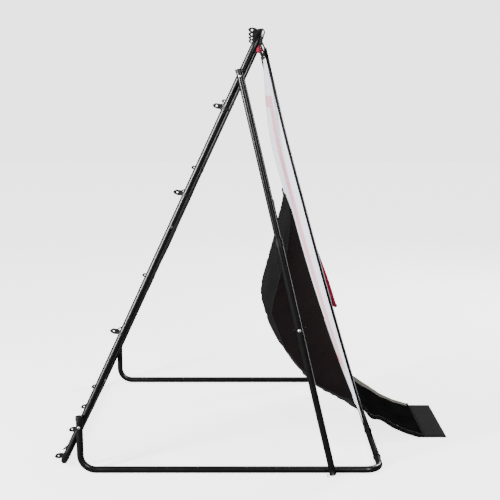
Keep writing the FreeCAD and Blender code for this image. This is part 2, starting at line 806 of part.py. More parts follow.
def bag_section(level, inset):
    """A rounded box outline: flat along the sheet, its back corners eased by a curve with poles there."""
    z, reach, half = level
    front = sagging_x(z) - BAG_FRONT_GAP
    deep = front - (sheet_x(z) - reach) - inset
    half = half - inset
    if inset:
        # the hollow runs out through the bag's front, so that the bag is open there
        front += 2 * BAG_FRONT_GAP
        deep += 2 * BAG_FRONT_GAP
    side_poles = [(0, 1), (BAG_SIDE_POLE, 1), (1, BAG_CORNER_POLE)]
    near = [Vector(front - depth * deep, -width * half, z) for depth, width in side_poles]
    far = [Vector(pole.x, -pole.y, z) for pole in reversed(near)]
    curve = Part.BSplineCurve()
    curve.buildFromPoles(near + [Vector(front - deep, 0, z)] + far)
    close = Part.LineSegment(far[-1], near[0])
    return Part.Wire([curve.toShape(), close.toShape()])


def ball_bag():
    """An open-fronted bag behind the sheet, bulging towards the back."""
    cloth = size("cloth_thickness")
    outer = Part.makeLoft([bag_section(level, 0) for level in BAG_LEVELS], True, True)
    hollow = Part.makeLoft([bag_section(level, cloth) for level in BAG_LEVELS[1:-1]], True, True)
    solid_part(outer.cut(hollow), "ball_bag")


# along the chute: distance from the middle of the base, height of its edges and of its floor's middle
CHUTE_RUN = [(545, 138, 100), (573, 117, 76), (601, 99, 58), (663, 56, 28), (720, 30, 11), (790, 8, 4)]
CHUTE_END_GAP = 1.0
CHUTE_END_LENGTH = 94.0
CHUTE_END_HEIGHT = 2.0


def chute_section(x, edge_height, middle_height):
    """The chute's outline where it stands at x: a strip of cloth sagging between its two edges."""
    half = size("chute_half_width")
    up = Vector(0, 0, size("cloth_thickness"))
    right = Vector(x, -half, edge_height)
    left = Vector(x, half, edge_height)
    middle = Vector(x, 0, middle_height)
    under = Part.Arc(right, middle, left).toShape()
    over = Part.Arc(left + up, middle + up, right + up).toShape()
    left_edge = Part.LineSegment(left, left + up).toShape()
    right_edge = Part.LineSegment(right + up, right).toShape()
    return Part.Wire([under, left_edge, over, right_edge])


def ball_chute():
    """A sagging run of cloth from the sheet's lower opening down to the floor in front."""
    solid_part(Part.makeLoft([chute_section(*place) for place in CHUTE_RUN], True, True), "ball_chute")


def chute_end():
    """The stiff flap that lies on the floor at the chute's mouth."""
    half = size("chute_half_width")
    corner = Vector(CHUTE_RUN[-1][0] + CHUTE_END_GAP, -half, CHUTE_END_HEIGHT)
    panel = Part.makeBox(CHUTE_END_LENGTH, 2 * half, size("cloth_thickness"), corner)
    solid_part(panel, "chute_end_flap")


FLAP_TOP = 1000.0
FLAP_LENGTH = 467.0
FLAP_LEAN = 22.1
# the sheet bows back less at the flap's ends, so the rod stands this far out at the middle
FLAP_GAP = 22.0
FLAP_ROD_RADIUS = 3.0


def strike_flap():
    """The flap over the pocket opening, hung from a hem rod along its top edge."""
    half = size("chute_half_width")
    hinge = turned(sagging_x(FLAP_TOP) + FLAP_GAP, 0, FLAP_TOP, Vector(0, 1, 0), -FLAP_LEAN)
    rod = cylinder(f"{FLAP_ROD_RADIUS}", f"{2 * half}", hinge * turned(0, -half, 0, Vector(1, 0, 0), -90))
    cloth = block("cloth_thickness", f"{2 * half}", f"{FLAP_LENGTH}", hinge * at(0, 0, -FLAP_LENGTH))
    keep(fuse([rod, cloth], "flap"), "strike_flap")


# clips on the tubes that run across: the mouth's direction, wall, height and mouth width, and the
# length, width and start of the straight tail opposite the mouth
HANGER = dict(angle=98.0, wall=3.4, height=12.0, mouth=15.0, tail=(26.0, 3.0, -28.0))
FRONT_HOOK = dict(angle=-90.0, wall=2.6, height=10.0, mouth=18.6, tail=(14.0, 6.0, -21.0))


def bar_hook(x, y, z, angle, wall, height, mouth, tail):
    """A clip on a tube that runs across, turned round it, with a straight tail."""
    across = turned(x, y, z, Vector(1, 0, 0), 90)
    swung = across * turned(0, 0, 0, Vector(0, 0, 1), angle)
    clip = spring_clip(swung, wall, height, mouth)
    length, width, start = tail
    strap_height = height - PAST
    strap_place = swung * at(start, 0, -strap_height / 2)
    strap = block(f"{length}", f"{width}", f"{strap_height}", strap_place)
    return fuse([clip, strap], "bar_hook")


def hanger_hooks():
    """Hooks that hang the sheet's top hem from the frame's top tube."""
    bar = FRAME.multVec(Vector(0, 0, size("frame_above")))
    keep(group([bar_hook(bar.x, y, bar.z, **HANGER) for y in HANGER_ROWS]), "hanger_hooks")


def front_hooks():
    """Hooks on the base's front tube that pull the sheet's bottom hem tight."""
    keep(group([bar_hook(HALF_LENGTH, y, TUBE, **FRONT_HOOK) for y in HOOK_ROWS]), "front_hooks")


# --- build -----------------------------------------------------------------------------------

for side_name, side_sign in SIDES:
    base_side_tube(f"base_side_tube_{side_name}", side_sign)
base_front_tube()
stub_caps()
pivot_fasteners()
foot_fasteners()
rebounder_tubes()
rebound_net()
net_hooks()
leg_top_fasteners()
for side_name, side_sign in SIDES:
    leg(side_name, side_sign)
    leg_clamp(side_name, side_sign)
target_sheet()
ball_bag()
ball_chute()
chute_end()
strike_flap()
hanger_hooks()
front_hooks()
doc.recompute()

problems = [item.Name for item in doc.Objects if "Invalid" in item.State or "Error" in item.State]
for part in parts:
    if part.Shape.isNull() or not part.Shape.isValid() or not part.Shape.Solids:
        problems.append(part.Label)
if problems:
    raise SystemExit("failed: " + ", ".join(problems))

os.makedirs("parts", exist_ok=True)
for part in parts:
    part.Shape.exportStep(f"parts/{part.Label}.step")
print(f"{len(parts)} sub-parts written")
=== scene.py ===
"""Looks of the two-sided ball trainer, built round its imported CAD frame. Everything is in metres."""
import json
import math

import bpy
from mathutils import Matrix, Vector, noise
from mathutils.bvhtree import BVHTree


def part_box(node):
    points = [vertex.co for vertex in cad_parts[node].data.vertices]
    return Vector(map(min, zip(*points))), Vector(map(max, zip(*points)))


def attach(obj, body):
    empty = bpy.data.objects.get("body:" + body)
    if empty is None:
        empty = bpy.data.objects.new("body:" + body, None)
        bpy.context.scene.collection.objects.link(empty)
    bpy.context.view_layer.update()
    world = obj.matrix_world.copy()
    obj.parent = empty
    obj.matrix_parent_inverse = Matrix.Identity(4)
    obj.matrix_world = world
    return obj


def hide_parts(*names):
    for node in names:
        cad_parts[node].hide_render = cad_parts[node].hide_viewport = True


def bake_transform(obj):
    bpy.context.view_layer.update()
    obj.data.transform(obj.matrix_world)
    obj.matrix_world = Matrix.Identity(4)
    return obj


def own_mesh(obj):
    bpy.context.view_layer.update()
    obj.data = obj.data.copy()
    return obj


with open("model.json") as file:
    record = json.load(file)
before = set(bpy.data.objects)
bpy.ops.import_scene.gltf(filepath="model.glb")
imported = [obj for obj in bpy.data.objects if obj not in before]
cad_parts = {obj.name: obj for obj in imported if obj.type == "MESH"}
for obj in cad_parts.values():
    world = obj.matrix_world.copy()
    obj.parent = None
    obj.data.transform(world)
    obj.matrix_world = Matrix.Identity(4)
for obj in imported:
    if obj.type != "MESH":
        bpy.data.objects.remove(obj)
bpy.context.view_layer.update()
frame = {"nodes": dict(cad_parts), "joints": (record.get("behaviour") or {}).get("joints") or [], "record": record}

JOINTS = {joint["name"]: joint for joint in frame["joints"]}


# --- places taken from the frame -------------------------------------------------------------

def joint_at(name):
    """The place of a joint, moved to the object's middle plane."""
    x, _, z = JOINTS[name]["pos_m"]
    return Vector((x, 0, z))


PIVOT = joint_at("frame_tilt")
FRAME_UP = (joint_at("leg_swing_right") - PIVOT).normalized()
FRAME_OUT = Vector((-FRAME_UP.z, 0, FRAME_UP.x))
TUBE_RADIUS = 0.0127

sheet_low, sheet_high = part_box("target_sheet")
SHEET_THICKNESS = 0.0012
SHEET_FOOT = Vector((sheet_high.x - 0.003, 0, sheet_low.z))
SHEET_HEAD = Vector((sheet_low.x, 0, sheet_high.z))
SHEET_RUN = SHEET_HEAD - SHEET_FOOT
SHEET_UP = SHEET_RUN.normalized()
SHEET_FRONT = Vector((SHEET_UP.z, 0, -SHEET_UP.x))
SHEET_HALF = sheet_high.y
SAG_MIDDLE = 0.072
SAG_EDGE = 0.010
# how the bow grows from the foot to the head
SAG_AT_FOOT = 0.78
SAG_GAIN = 0.44
# the cloth above the bag bows a little deeper than its solid, from this share of its height up
UPPER_SAG = 0.30
UPPER_SAG_FROM = 0.63
UPPER_SAG_RUN = 0.20
SHEET_CREASE = 0.0025

POCKET_HALF = 0.205
POCKET = (0.535, 0.970)
SLOT = (0.072, 0.205)
SPLIT_HEIGHT = 1.045


def on_frame(station, y, out=0.0):
    """A point on the rebounder frame: up its slope, across, and out from its plane."""
    return PIVOT + FRAME_UP * station + FRAME_OUT * out + Vector((0, y, 0))


def share_at(height):
    """How far up the sheet a height is, 0 at its foot and 1 at its head."""
    return (height - SHEET_FOOT.z) / SHEET_RUN.z


def on_sheet(y, share, front=0.0):
    """A point on the hanging sheet, which bows back most in its middle and a little above halfway."""
    from_middle = (y / SHEET_HALF) ** 2
    sag = SAG_MIDDLE + (SAG_EDGE - SAG_MIDDLE) * from_middle
    upper = min(1.0, max(0.0, (share - UPPER_SAG_FROM) / UPPER_SAG_RUN))
    deeper = UPPER_SAG * upper * upper * (3 - 2 * upper)
    profile = 4 * share * (1 - share) * (SAG_AT_FOOT + SAG_GAIN * share + deeper)
    place = SHEET_FOOT + SHEET_RUN * share + Vector((0, y, 0))
    loose = min(1.0, 8 * share * (1 - share))
    crease = SHEET_CREASE * noise.noise(Vector((3.0 * y, 2.2 * share, 0.4))) * loose
    return place + SHEET_FRONT * (front - sag * profile + crease)


def cad_surface(node):
    """The surface of a CAD node, for finding where it stands."""
    mesh = frame["nodes"][node].data
    points = [vertex.co for vertex in mesh.vertices]
    return BVHTree.FromPolygons(points, [tuple(face.vertices) for face in mesh.polygons])


def steps(stops, size):
    """Every stop, with even steps of about a size between them."""
    values = [stops[0]]
    for low, high in zip(stops, stops[1:]):
        count = max(1, round(abs(high - low) / size))
        values += [low + (high - low) * number / count for number in range(1, count + 1)]
    return values


# --- building meshes -------------------------------------------------------------------------

STITCH_LENGTH = 0.0045
STITCH_GAP = 0.0035
STITCH_RADIUS = 0.0006


class Surface:
    """Points and faces collected for one piece."""

    def __init__(self):
        self.points = []
        self.faces = []

    def skin(self, rows, wrap=False, skip=None):
        """Faces between rows of points, leaving out the cells that skip(row, column) names."""
        start = len(self.points)
        width = len(rows[0])
        for row in rows:
            self.points += row
        for i in range(len(rows) - 1):
            for j in range(width if wrap else width - 1):
                if skip and skip(i, j):
                    continue
                a = start + i * width + j
                b = start + i * width + (j + 1) % width
                self.faces.append((a, b, b + width, a + width))

    def sweep(self, rows):
        """A solid skinned over closed rings, with both ends closed."""
        start = len(self.points)
        self.skin(rows, wrap=True)
        width = len(rows[0])
        end = start + (len(rows) - 1) * width
        self.faces.append(tuple(reversed(range(start, start + width))))
        self.faces.append(tuple(range(end, end + width)))

    def cord(self, path, radius, sides=6):
        """A round cord along a path of points."""
        rows = []
        side = None
        for number, point in enumerate(path):
            before = path[max(number - 1, 0)]
            after = path[min(number + 1, len(path) - 1)]
            along = (after - before).normalized()
            side = side - along * side.dot(along) if side else along.orthogonal()
            side.normalize()
            up = along.cross(side)
            ring = []
            for corner in range(sides):
                angle = 2 * math.pi * corner / sides
                ring.append(point + (side * math.cos(angle) + up * math.sin(angle)) * radius)
            rows.append(ring)
        self.sweep(rows)

    def tape(self, path, across, out, width, thickness):
        """Flat webbing along a path. across and out give a direction for each point of the path."""
        edge = thickness * 0.35
        half = width / 2
        profile = [
            (-half, 0), (-half + edge, thickness / 2), (half - edge, thickness / 2),
            (half, 0), (half - edge, -thickness / 2), (-half + edge, -thickness / 2),
        ]
        rows = []
        for point in path:
            row = [point + across(point) * a + out(point) * b for a, b in profile]
            rows.append(row)
        self.sweep(rows)

    def stitches(self, path):
        """A row of short raised threads along a path."""
        travelled = 0.0
        for a, b in zip(path, path[1:]):
            run = (b - a).length
            along = (b - a).normalized()
            while travelled < run:
                start = a + along * travelled
                self.cord([start, start + along * STITCH_LENGTH], STITCH_RADIUS, sides=4)
                travelled += STITCH_LENGTH + STITCH_GAP
            travelled -= run


# faces that meet at more than this angle keep a sharp edge once cloth has its thickness
SHARP_RIM = math.radians(50)


def piece(name, surface, material, body, thickness=0.0, smooth=True):
    """A mesh object with the given material, which rides on a body when one is given."""
    mesh = bpy.data.meshes.new(name)
    mesh.from_pydata(surface.points, [], surface.faces)
    for polygon in mesh.polygons:
        polygon.use_smooth = smooth
    # kept on the points, so that a print stays on its cloth when the cloth is squashed
    rest_place = mesh.attributes.new("rest_place", "FLOAT_VECTOR", "POINT")
    for number, point in enumerate(surface.points):
        rest_place.data[number].vector = point
    mesh.materials.append(material)
    made = bpy.data.objects.new(name, mesh)
    bpy.context.scene.collection.objects.link(made)
    if thickness:
        solid = made.modifiers.new("thickness", "SOLIDIFY")
        solid.thickness = thickness
        solid.offset = 0
        rim = made.modifiers.new("rim", "EDGE_SPLIT")
        rim.split_angle = SHARP_RIM
    if body:
        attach(made, body)
    return made


# --- materials -------------------------------------------------------------------------------

class Shader:
    """A material's nodes, with a short way to add one and join it to others."""

    def __init__(self, name, **settings):
        self.material = bpy.data.materials.new(name)
        self.material.use_nodes = True
        self.tree = self.material.node_tree
        self.principled = self.tree.nodes["Principled BSDF"]
        for key, value in settings.items():
            self.set(key.replace("_", " ").title().replace("Ior", "IOR"), value)
        place = self.add("ShaderNodeTexCoord")
        self.place = place.outputs["Object"]

    def set(self, name, value):
        self.join(self.principled.inputs[name], value)

    def join(self, socket, value):
        if isinstance(value, bpy.types.NodeSocket):
            self.tree.links.new(value, socket)
        else:
            socket.default_value = value

    def add(self, kind, inputs=None, **settings):
        node = self.tree.nodes.new(kind)
        for key, value in settings.items():
            setattr(node, key, value)
        for key, value in (inputs or {}).items():
            self.join(node.inputs[key], value)
        return node

    def math(self, operation, a, b=0.0):
        return self.add("ShaderNodeMath", {0: a, 1: b}, operation=operation).outputs[0]

    def noise(self, scale, detail=3.0):
        inputs = {"Vector": self.place, "Scale": scale, "Detail": detail}
        return self.add("ShaderNodeTexNoise", inputs).outputs["Fac"]

    def spread(self, value, low, high, to_low, to_high):
        """A value mapped from one range to another and held inside it."""
        inputs = {0: value, 1: low, 2: high, 3: to_low, 4: to_high}
        return self.add("ShaderNodeMapRange", inputs).outputs[0]

    def mix(self, share, a, b):
        inputs = {"Fac": share, "Color1": a, "Color2": b}
        return self.add("ShaderNodeMixRGB", inputs).outputs["Color"]

    def axis(self, number):
        split = self.add("ShaderNodeSeparateXYZ", {0: self.place})
        return split.outputs[number]

    def thread(self, value, pitch):
        """A wave from 0 to 1 that repeats each pitch along a coordinate."""
        turns = self.math("MULTIPLY", value, 2 * math.pi / pitch)
        wave = self.math("SINE", turns)
        return self.spread(wave, -1.0, 1.0, 0.0, 1.0)

    def weave(self, pitch):
        """Warp and weft crossing over each other."""
        warp = self.thread(self.axis(1), pitch)
        weft = self.thread(self.axis(2), pitch)
        return self.math("ABSOLUTE", self.math("SUBTRACT", warp, weft))

    def bump(self, height, distance, strength):
        inputs = {"Height": height, "Distance": distance, "Strength": strength}
        self.set("Normal", self.add("ShaderNodeBump", inputs).outputs["Normal"])


def grey(level):
    return (level, level, level, 1.0)


def powder_coat():
    """Gloss black powder coat with orange peel, dust and rubbed spots."""
    shader = Shader("gloss_black_coat", specular_ior_level=0.4, coat_weight=0.2, coat_roughness=0.24)
    dust = shader.spread(shader.noise(14.0, 5.0), 0.45, 0.75, 0.0, 0.5)
    rub = shader.spread(shader.noise(90.0, 6.0), 0.70, 0.76, 0.0, 0.25)
    dusty = shader.mix(dust, grey(0.0016), grey(0.004))
    shader.set("Base Color", shader.mix(rub, dusty, grey(0.02)))
    shader.set("Roughness", shader.spread(shader.noise(30.0), 0.3, 0.7, 0.27, 0.36))
    shader.bump(shader.noise(650.0, 2.0), 0.00006, 0.05)
    return shader.material


def zinc():
    """Bright zinc plate with fine brushing and a faint tarnish."""
    shader = Shader("bright_zinc", metallic=1.0)
    tarnish = shader.noise(160.0, 4.0)
    shader.set("Base Color", shader.mix(tarnish, grey(0.72), (0.62, 0.61, 0.56, 1.0)))
    shader.set("Roughness", shader.spread(shader.noise(420.0), 0.3, 0.7, 0.20, 0.38))
    shader.bump(shader.noise(1500.0, 2.0), 0.00005, 0.5)
    return shader.material


def plastic(name, level, roughness):
    """Moulded black plastic with a fine spark-eroded grain."""
    shader = Shader(name, specular_ior_level=0.45)
    wear = shader.spread(shader.noise(60.0, 5.0), 0.5, 0.75, 0.0, 0.6)
    shader.set("Base Color", shader.mix(wear, grey(level), grey(level * 3)))
    grain = shader.noise(1100.0, 2.0)
    shader.set("Roughness", shader.spread(grain, 0.3, 0.7, roughness - 0.06, roughness + 0.10))
    shader.bump(grain, 0.00015, 0.5)
    return shader.material


def cloth(name, colour, shade, pitch, roughness, sheen, gloss=0.3):
    """Woven polyester: thread relief, slow colour drift and a soft sheen."""
    shader = Shader(name, roughness=roughness, sheen_weight=sheen, specular_ior_level=gloss)
    drift = shader.spread(shader.noise(9.0, 5.0), 0.35, 0.65, 0.0, 1.0)
    weave = shader.weave(pitch)
    base = shader.mix(drift, colour, shade)
    shader.set("Base Color", shader.mix(shader.math("MULTIPLY", weave, 0.35), base, shade))
    creases = shader.math("MULTIPLY", shader.noise(38.0, 4.0), 3.0)
    shader.bump(shader.math("ADD", weave, creases), pitch * 0.25, 0.6)
    return shader.material


def webbing(name, colour, shade):
    """Ribbed polyester tape."""
    shader = Shader(name, roughness=0.65, sheen_weight=0.05, specular_ior_level=0.2)
    ribs = shader.thread(shader.axis(2), 0.0022)
    fuzz = shader.noise(700.0, 3.0)
    shader.set("Base Color", shader.mix(shader.math("MULTIPLY", ribs, fuzz), colour, shade))
    shader.bump(ribs, 0.0004, 0.8)
    return shader.material


PRINT_HALF = 0.345
PRINT_LINE = 0.085
PRINT_BAR = 0.045
PRINT_LOW = 0.330
PRINT_HIGH = 1.402
# how strong the print looks from behind and from the front
PRINT_BEHIND = 0.52
PRINT_IN_FRONT = 0.95


def band(shader, value, low, high):
    """1 where a value lies between two limits and 0 elsewhere."""
    above = shader.math("GREATER_THAN", value, low)
    below = shader.math("LESS_THAN", value, high)
    return shader.math("MULTIPLY", above, below)


# painted light: how strongly the sheet glows on its back and on its front
SHEET_BACK_PAINTED_GLOW = 0.85
SHEET_FRONT_PAINTED_GLOW = 0.12


def sheet_cloth():
    """White woven sheet with a plain red frame printed on its front, which shows faintly through, and a painted
    glow in place of light shining through the cloth.
    """
    shader = Shader("white_sheet_cloth", roughness=0.72, sheen_weight=0.2, specular_ior_level=0.25)
    shader.place = shader.add("ShaderNodeAttribute", attribute_name="rest_place").outputs["Vector"]
    across = shader.math("ABSOLUTE", shader.axis(1))
    height = shader.axis(2)
    outer = shader.math(
        "MULTIPLY",
        shader.math("LESS_THAN", across, PRINT_HALF),
        band(shader, height, PRINT_LOW, PRINT_HIGH),
    )
    inner = shader.math(
        "MULTIPLY",
        shader.math("LESS_THAN", across, PRINT_HALF - PRINT_LINE),
        band(shader, height, PRINT_LOW + PRINT_BAR, PRINT_HIGH - PRINT_BAR),
    )
    printed = shader.math("SUBTRACT", outer, inner)
    facing = shader.add("ShaderNodeNewGeometry").outputs["Normal"]
    to_front = shader.add("ShaderNodeSeparateXYZ", {0: facing}).outputs[0]
    is_front = shader.math("GREATER_THAN", to_front, 0.0)
    strength = shader.spread(is_front, 0.0, 1.0, PRINT_BEHIND, PRINT_IN_FRONT)
    drift = shader.spread(shader.noise(4.0, 5.0), 0.35, 0.65, 0.0, 1.0)
    white = shader.mix(drift, (0.86, 0.88, 0.95, 1.0), (0.80, 0.82, 0.90, 1.0))
    ink = shader.mix(shader.math("MULTIPLY", printed, strength), white, (0.78, 0.03, 0.09, 1.0))
    weave = shader.weave(0.0014)
    threads = shader.mix(shader.math("MULTIPLY", weave, 0.08), ink, grey(0.60))
    shader.set("Base Color", threads)
    # painted light: the lamps light the front most, and in place of their light showing through the thin cloth to
    # its back, the cloth glows with its own colour, strongly on its back and faintly on its front
    shader.set("Emission Color", threads)
    shader.set("Emission Strength", shader.spread(is_front, 0.0, 1.0, SHEET_BACK_PAINTED_GLOW, SHEET_FRONT_PAINTED_GLOW))
    shader.bump(weave, 0.0003, 0.5)
    return shader.material


def cord_fibre(name, colour, shade, pitch):
    """Twisted cord: a diagonal ply with loose fibres."""
    shader = Shader(name, roughness=0.78, sheen_weight=0.05, specular_ior_level=0.2)
    diagonal = shader.math("ADD", shader.axis(1), shader.math("ADD", shader.axis(2), shader.axis(0)))
    ply = shader.thread(diagonal, pitch)
    fibres = shader.noise(900.0, 3.0)
    shader.set("Base Color", shader.mix(shader.math("MULTIPLY", ply, fibres), colour, shade))
    shader.bump(ply, 0.0004, 0.7)
    return shader.material


COAT = powder_coat()
ZINC = zinc()
HOOK_PLASTIC = plastic("black_hook_plastic", 0.003, 0.42)
BLACK_CLOTH = cloth(
    "black_bag_cloth", (0.0065, 0.0065, 0.0068, 1), (0.010, 0.010, 0.0105, 1),
    pitch=0.0016, roughness=0.75, sheen=0.03, gloss=0.06)
# painted shade: the gussets' cloth is darker than the back panel's because the gussets are turned from the lamps
GUSSET_PAINTED_SHADE_CLOTH = cloth(
    "black_side_cloth_painted_shade", (0.0030, 0.0022, 0.0022, 1), (0.0058, 0.0031, 0.0034, 1),
    pitch=0.0016, roughness=0.75, sheen=0.02, gloss=0.08)
CHUTE_CLOTH = cloth(
    "black_chute_cloth", (0.0035, 0.0035, 0.0036, 1), (0.0065, 0.0065, 0.0066, 1),
    pitch=0.0016, roughness=0.8, sheen=0.0, gloss=0.0)
LINING_CLOTH = cloth(
    "taupe_lining", (0.13, 0.118, 0.10, 1), (0.09, 0.082, 0.07, 1),
    pitch=0.0018, roughness=0.85, sheen=0.1)
RED_CLOTH = cloth(
    "red_flap_cloth", (0.50, 0.006, 0.040, 1), (0.34, 0.004, 0.024, 1),
    pitch=0.0014, roughness=0.7, sheen=0.3)
SHEET_CLOTH = sheet_cloth()
BLACK_TAPE = webbing("black_webbing", grey(0.003), grey(0.009))
RED_TAPE = webbing("red_webbing", (0.38, 0.006, 0.045, 1), (0.24, 0.004, 0.028, 1))
NET_CORD = cord_fibre("black_net_cord", grey(0.0025), grey(0.007), 0.004)
ELASTIC = cord_fibre("elastic_cord", grey(0.006), grey(0.06), 0.006)
THREAD = cord_fibre("stitching_thread", grey(0.012), grey(0.03), 0.002)
PALE_THREAD = cord_fibre("pale_thread", grey(0.55), grey(0.75), 0.002)

SLOT_MATERIALS = {"black_steel": COAT, "zinc_plate": ZINC, "black_plastic": HOOK_PLASTIC}


def finish_cad_nodes():
    """Gives each CAD node the finish of its slot in the record."""
    for part in frame["record"]["subparts"]:
        finish = SLOT_MATERIALS.get(part["material_slot"])
        if finish:
            made = frame["nodes"][part["node"]]
            made.data.materials.clear()
            made.data.materials.append(finish)


# --- the sheet -------------------------------------------------------------------------------

SHEET_ROWS = [share_at(height) for height in steps(
    [SHEET_FOOT.z, SLOT[0], SLOT[1], POCKET[0], POCKET[1], SPLIT_HEIGHT, SHEET_HEAD.z], 0.018)]
SHEET_COLUMNS = steps([-SHEET_HALF, -POCKET_HALF, POCKET_HALF, SHEET_HALF], 0.02)
SPLIT = share_at(SPLIT_HEIGHT)
EPSILON = 1e-6


def in_window(share, y):
    """True where the sheet is cut away for the pocket or the chute."""
    for low, high in (POCKET, SLOT):
        if share_at(low) < share < share_at(high) and abs(y) < POCKET_HALF:
            return True
    return False


def sheet_part(name, low, high):
    """One part of the sheet between two shares of its height."""
    shares = [share for share in SHEET_ROWS if low - EPSILON <= share <= high + EPSILON]
    rows = [[on_sheet(y, share) for y in SHEET_COLUMNS] for share in shares]

    def skip(i, j):
        middle = (SHEET_COLUMNS[j] + SHEET_COLUMNS[j + 1]) / 2
        return in_window((shares[i] + shares[i + 1]) / 2, middle)

    surface = Surface()
    surface.skin(rows, skip=skip)
    return piece(name, surface, SHEET_CLOTH, "target", thickness=SHEET_THICKNESS)


BORDER_WIDTH = 0.026
BORDER_THICKNESS = 0.0032
HEM_TAPE = 0.040
OPENING_TAPE = 0.018
EDGE_ROLL = 0.0058
EDGE_STEP = 0.015
STITCH_ROWS = (0.005, 0.021)
# how far up the sheet its two hems lie, as shares of its height
FOOT_HEM = 0.014
HEAD_HEM = 0.987
EYELET_ROWS = (-0.444, -0.165, 0.165, 0.444)
EYELET_RADIUS = 0.008
EYELET_ROLL = 0.0016
EYELET_LIFT = 0.0022
EYELET_CORNERS = 16


def border_paths(low, high):
    """The sheet's two side edges between two shares, just inside the edge."""
    y = SHEET_HALF - BORDER_WIDTH / 2 + 0.001
    shares = steps([low, high], EDGE_STEP)
    return [[on_sheet(side * y, share) for share in shares] for side in (-1, 1)]


def cross_path(share, half):
    """A line across the sheet at a share of its height."""
    return [on_sheet(y, share) for y in steps([-half, half], 0.03)]


def border(name, low, high, hem_share):
    """Webbing down both side edges and across one hem."""
    surface = Surface()
    sideways = Vector((0, 1, 0))
    for path in border_paths(low, high):
        surface.tape(path, lambda _: sideways, lambda _: SHEET_FRONT, BORDER_WIDTH, BORDER_THICKNESS)
    for side in (-1, 1):
        y = side * (SHEET_HALF - EDGE_ROLL)
        roll = [on_sheet(y, share, -EDGE_ROLL / 2) for share in steps([low, high], EDGE_STEP)]
        surface.cord(roll, EDGE_ROLL, sides=8)
    hem = cross_path(hem_share, SHEET_HALF)
    surface.tape(hem, lambda _: SHEET_UP, lambda _: SHEET_FRONT, HEM_TAPE, BORDER_THICKNESS + 0.0006)
    return piece(name, surface, BLACK_TAPE, "target")


def window_border():
    """Webbing round the pocket opening and the chute opening."""
    surface = Surface()
    sideways = Vector((0, 1, 0))
    for low, high in (POCKET, SLOT):
        for share in (share_at(low), share_at(high)):
            path = cross_path(share, POCKET_HALF + 0.008)
            surface.tape(path, lambda _: SHEET_UP, lambda _: SHEET_FRONT, OPENING_TAPE, 0.0036)
        for side in (-1, 1):
            shares = steps([share_at(low), share_at(high)], EDGE_STEP)
            path = [on_sheet(side * POCKET_HALF, share) for share in shares]
            surface.tape(path, lambda _: sideways, lambda _: SHEET_FRONT, OPENING_TAPE, 0.0034)
    return piece("opening_webbing", surface, BLACK_TAPE, "target")


def sheet_stitching(name, low, high):
    """Two rows of thread down each side webbing, on both faces."""
    surface = Surface()
    lift = BORDER_THICKNESS / 2
    for side in (-1, 1):
        for inset in STITCH_ROWS:
            for front in (-lift, lift):
                y = side * (SHEET_HALF - inset)
                surface.stitches([on_sheet(y, share, front) for share in steps([low, high], 0.02)])
    return piece(name, surface, THREAD, "target", smooth=False)


def grommets(name, share):
    """Rolled metal eyelets along a hem."""
    surface = Surface()
    for y in EYELET_ROWS:
        centre = on_sheet(y, share)
        for front in (-EYELET_LIFT, EYELET_LIFT):
            ring = []
            for corner in range(EYELET_CORNERS + 1):
                angle = 2 * math.pi * corner / EYELET_CORNERS
                across = Vector((0, math.cos(angle), 0)) + SHEET_UP * math.sin(angle)
                ring.append(centre + across * EYELET_RADIUS + SHEET_FRONT * front)
            surface.cord(ring, EYELET_ROLL, sides=6)
    return piece(name, surface, ZINC, "target")


# --- the bag ---------------------------------------------------------------------------------

BAG_TURNS = 44
# how much closer to the sheet the cloth lies than its solid, from this height up to the bag's top
BAG_TUCK = 0.012
BAG_TUCK_FROM = 0.860
BAG_TUCK_RUN = 0.1
# a gusset's share of the way round the bag, how far it dips in, and the back panel's share of the width
GUSSET_SHARE = 0.30
GUSSET_DIP = 0.014
BACK_WIDTH = 0.93
# how far the cloth's top edge stays below the top of its solid
BAG_TRIM = 0.018
# from the sheet's cloth back to the bag's edge
BEHIND_SHEET = 0.0035
# height, and how deep the bag's back corners stand there as a share of its full depth
CORNER_DEPTHS = [
    (0.090, 0.05), (0.159, 0.12), (0.189, 0.38), (0.236, 0.69), (0.313, 0.83), (0.385, 0.88),
    (0.535, 0.88), (0.625, 0.77), (0.710, 0.69), (0.808, 0.55), (0.959, 0.22), (1.030, 0.05),
]
# from the sheet's straight line to just behind the CAD bag's front
JUST_BEHIND = 0.012


def between_stops(stops, value):
    """A value read off straight lines between stops of (place, value), held at both ends."""
    if value <= stops[0][0]:
        return stops[0][1]
    for (low, at_low), (high, at_high) in zip(stops, stops[1:]):
        if value <= high:
            return at_low + (at_high - at_low) * (value - low) / (high - low)
    return stops[-1][1]


def sheet_x(height, y):
    """Where the sagging sheet stands along X, at a height and a place across it."""
    share = share_at(height)
    for _ in range(3):
        share += (height - on_sheet(y, share).z) / SHEET_RUN.z
    return on_sheet(y, share).x


def bag_outline(height, reach, half):
    """One level of the bag, from the near sheet edge round the back to the far sheet edge."""
    row = []
    corner = between_stops(CORNER_DEPTHS, height)
    line = SHEET_FOOT.x + SHEET_RUN.x * share_at(height)
    for number in range(BAG_TURNS + 1):
        turn = number / BAG_TURNS
        side = -1 if turn < 0.5 else 1
        from_edge = min(turn, 1 - turn)
        if from_edge < GUSSET_SHARE:
            run = from_edge / GUSSET_SHARE
            dip = GUSSET_DIP * corner * math.sin(math.pi * run)
            y = half * (1 - (1 - BACK_WIDTH) * run * run) - dip
            depth = corner * run
        else:
            run = (from_edge - GUSSET_SHARE) / (0.5 - GUSSET_SHARE)
            y = half * BACK_WIDTH * (1 - run)
            depth = corner + (1 - corner) * math.sin(run * math.pi / 2)
        front = sheet_x(height, y) - BEHIND_SHEET
        tuck = BAG_TUCK * min(1.0, max(0.0, (height - BAG_TUCK_FROM) / BAG_TUCK_RUN))
        back = min(line - reach + tuck, front - 0.003)
        row.append(Vector((front + (back - front) * depth, side * y, height)))
    return row


def crumple(point, depth, scale=7.0):
    """Soft folds, which run down the cloth more than across it."""
    place = Vector((point.x * scale, point.y * scale, point.z * scale * 0.55))
    folds = noise.noise(place) + 0.5 * noise.noise(place * 2.3 + Vector((4.1, 0.7, 2.2)))
    return depth * folds


